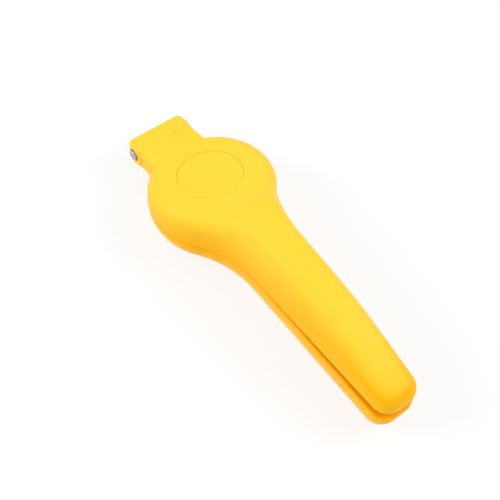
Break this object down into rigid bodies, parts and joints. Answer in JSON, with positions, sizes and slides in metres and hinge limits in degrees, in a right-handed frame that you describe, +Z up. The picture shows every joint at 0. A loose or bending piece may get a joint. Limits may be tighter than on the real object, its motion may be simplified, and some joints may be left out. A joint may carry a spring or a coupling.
{
  "type": "chestnut cutter",
  "caption": "Plier-shaped chestnut cutter: two moulded halves hinged by a steel pin, with a cup below and crossed blades above.",
  "frame": {"origin": "centre of the bounding box in plan, at the height of the flat underside", "axes": "+X from the hinge to the handle tip, +Z up out of the upper half's crown, +Y across the head"},
  "size_m": [0.17, 0.057, 0.0408],
  "materials": {
    "shell": "satin moulded ABS, warm yellow",
    "insert": "satin moulded plastic, off-white",
    "blade_steel": "ground stainless steel",
    "pin_steel": "plain cut steel rod",
    "screw_steel": "plated steel screws"
  },
  "bodies": {
    "lower": {"lower_handle": "shell", "chestnut_cup": "insert", "cup_screws": "screw_steel", "hinge_pin": "pin_steel"},
    "upper": {"upper_handle": "shell", "top_cap": "shell", "blade_carrier": "insert", "long_blade": "blade_steel", "cross_blade": "blade_steel", "carrier_screws": "screw_steel"}
  },
  "joints": [
    {"name": "hinge", "type": "hinge", "parent": "lower", "child": "upper", "pos_m": [-0.08, 0, 0.0142], "axis": [0, -1, 0], "range_deg": [0, 100]}
  ]
}
